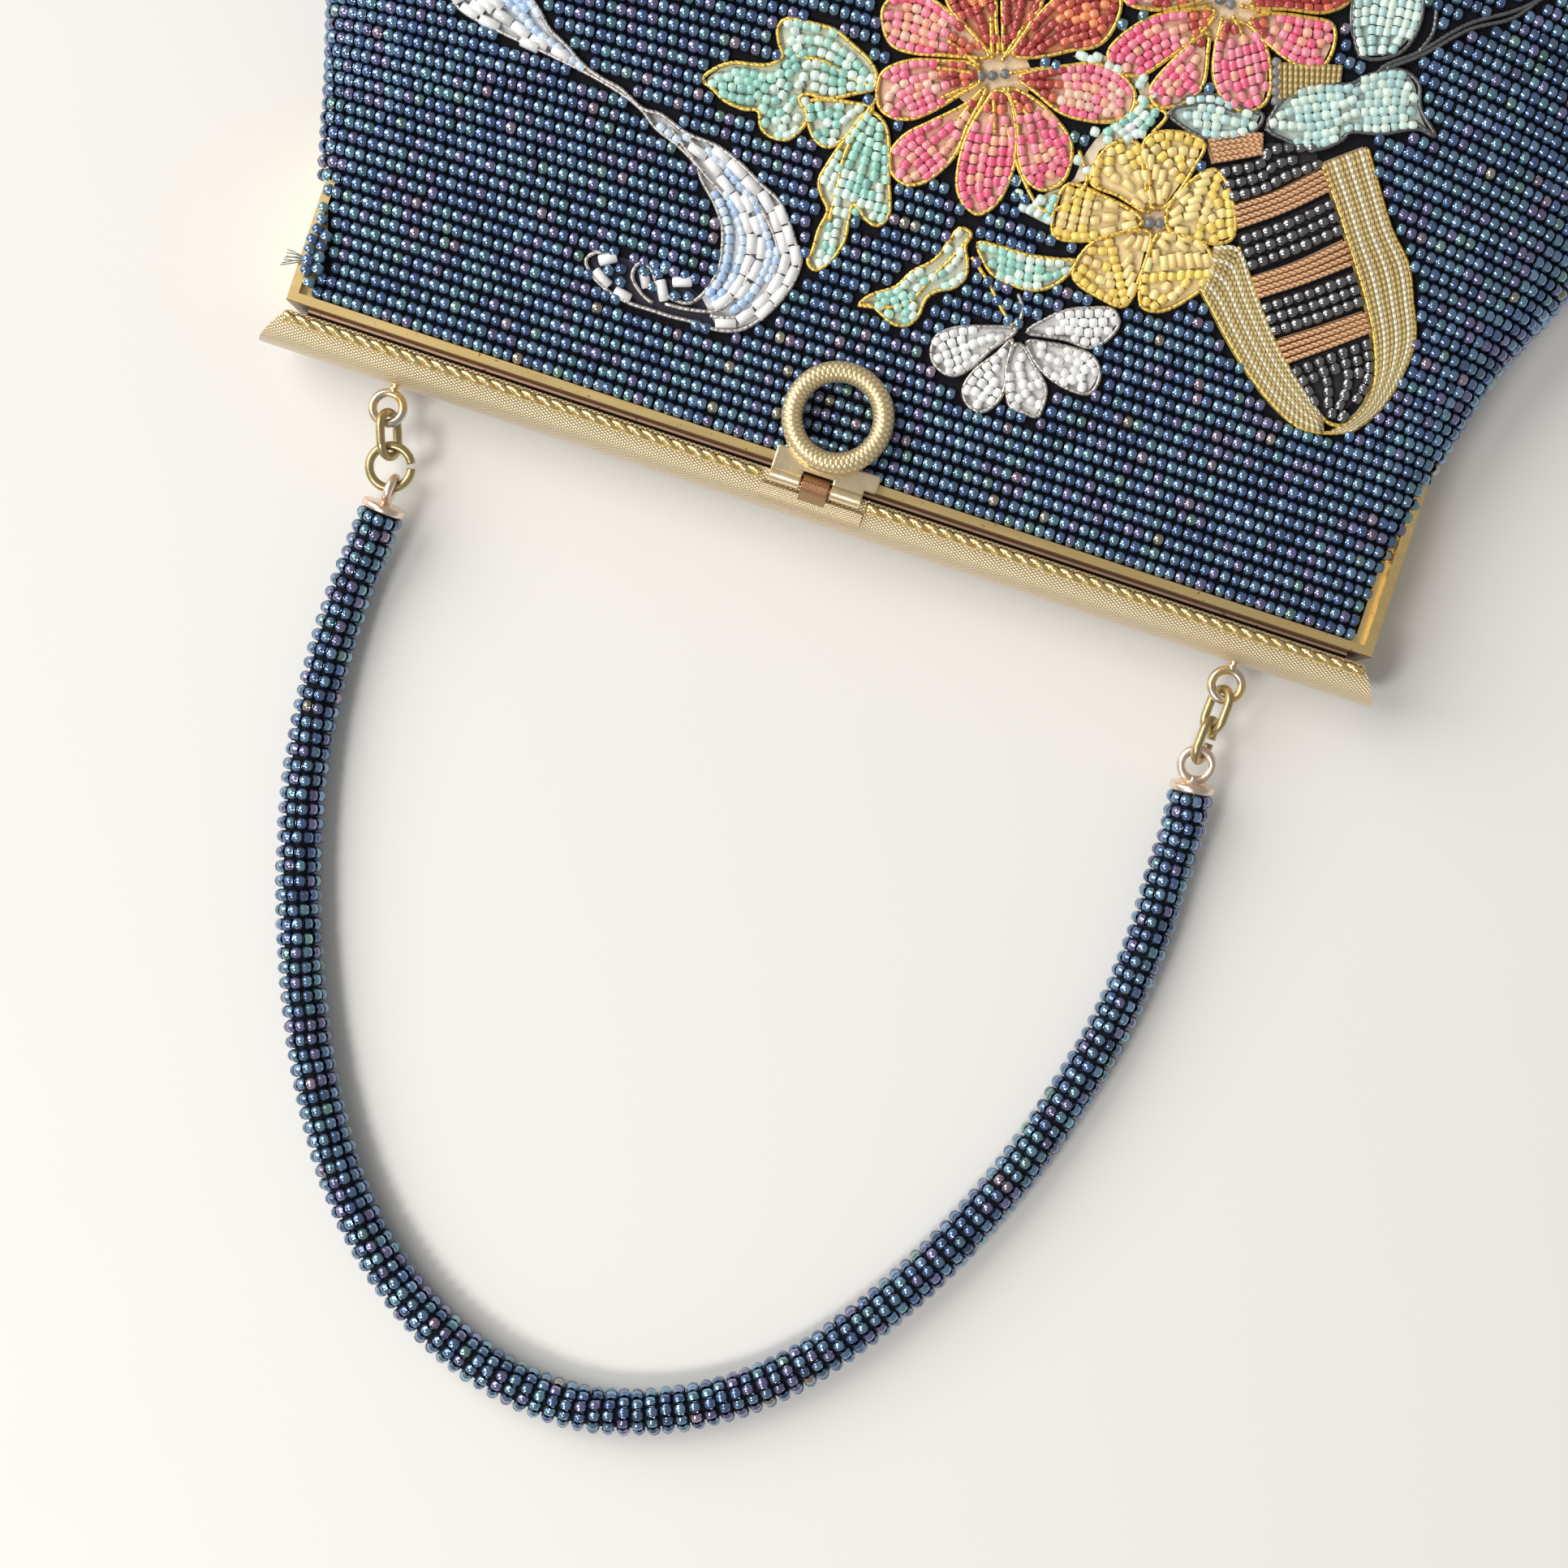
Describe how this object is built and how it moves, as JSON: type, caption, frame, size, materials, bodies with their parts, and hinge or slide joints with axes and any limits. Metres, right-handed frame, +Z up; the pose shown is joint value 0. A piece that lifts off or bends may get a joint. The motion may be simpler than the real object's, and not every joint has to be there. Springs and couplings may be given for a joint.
{
  "type": "beaded evening bag",
  "caption": "flat evening bag lying on its back, covered in rows of dark seed beads with embroidered flowers, on a gilt frame with a lifting ring clasp and a beaded rope handle",
  "frame": {"origin": "under the middle of the whole bag and handle, on the surface that it lies on", "axes": "X along the frame, Y from the handle to the bag's bottom, Z up out of the bag's front"},
  "size_m": [0.2194, 0.3012, 0.028],
  "materials": {
    "beaded_cloth": "matte",
    "navy_beads": "gloss",
    "color_beads": "gloss",
    "metal_thread": "satin",
    "gilt_metal": "polished",
    "textured_gilt": "satin",
    "bright_gilt": "polished",
    "scaled_gilt": "satin",
    "aged_brass": "satin",
    "rose_gilt": "satin",
    "plain_steel": "satin"
  },
  "bodies": {
    "bag": {"body_shell": "beaded_cloth", "frame_front": "gilt_metal", "frame_back": "gilt_metal", "hinge_rivet_left": "plain_steel", "hinge_rivet_right": "plain_steel", "roof_bar": "textured_gilt", "rope_trim_left": "bright_gilt", "rope_trim_right": "bright_gilt", "clasp_plate": "textured_gilt", "clasp_pin": "plain_steel", "oval_link_left": "aged_brass", "jump_ring_left": "aged_brass", "oval_link_right": "aged_brass", "open_link_right": "aged_brass", "end_cap_left": "rose_gilt", "end_cap_right": "rose_gilt", "handle_rope": "beaded_cloth"},
    "clasp": {"clasp_ring": "scaled_gilt"}
  },
  "joints": [
    {"name": "clasp_lift", "type": "hinge", "parent": "bag", "child": "clasp", "pos_m": [-0.0015, -0.00044, 0.0159], "axis": [1, 0, 0], "range_deg": [0, 110]}
  ]
}
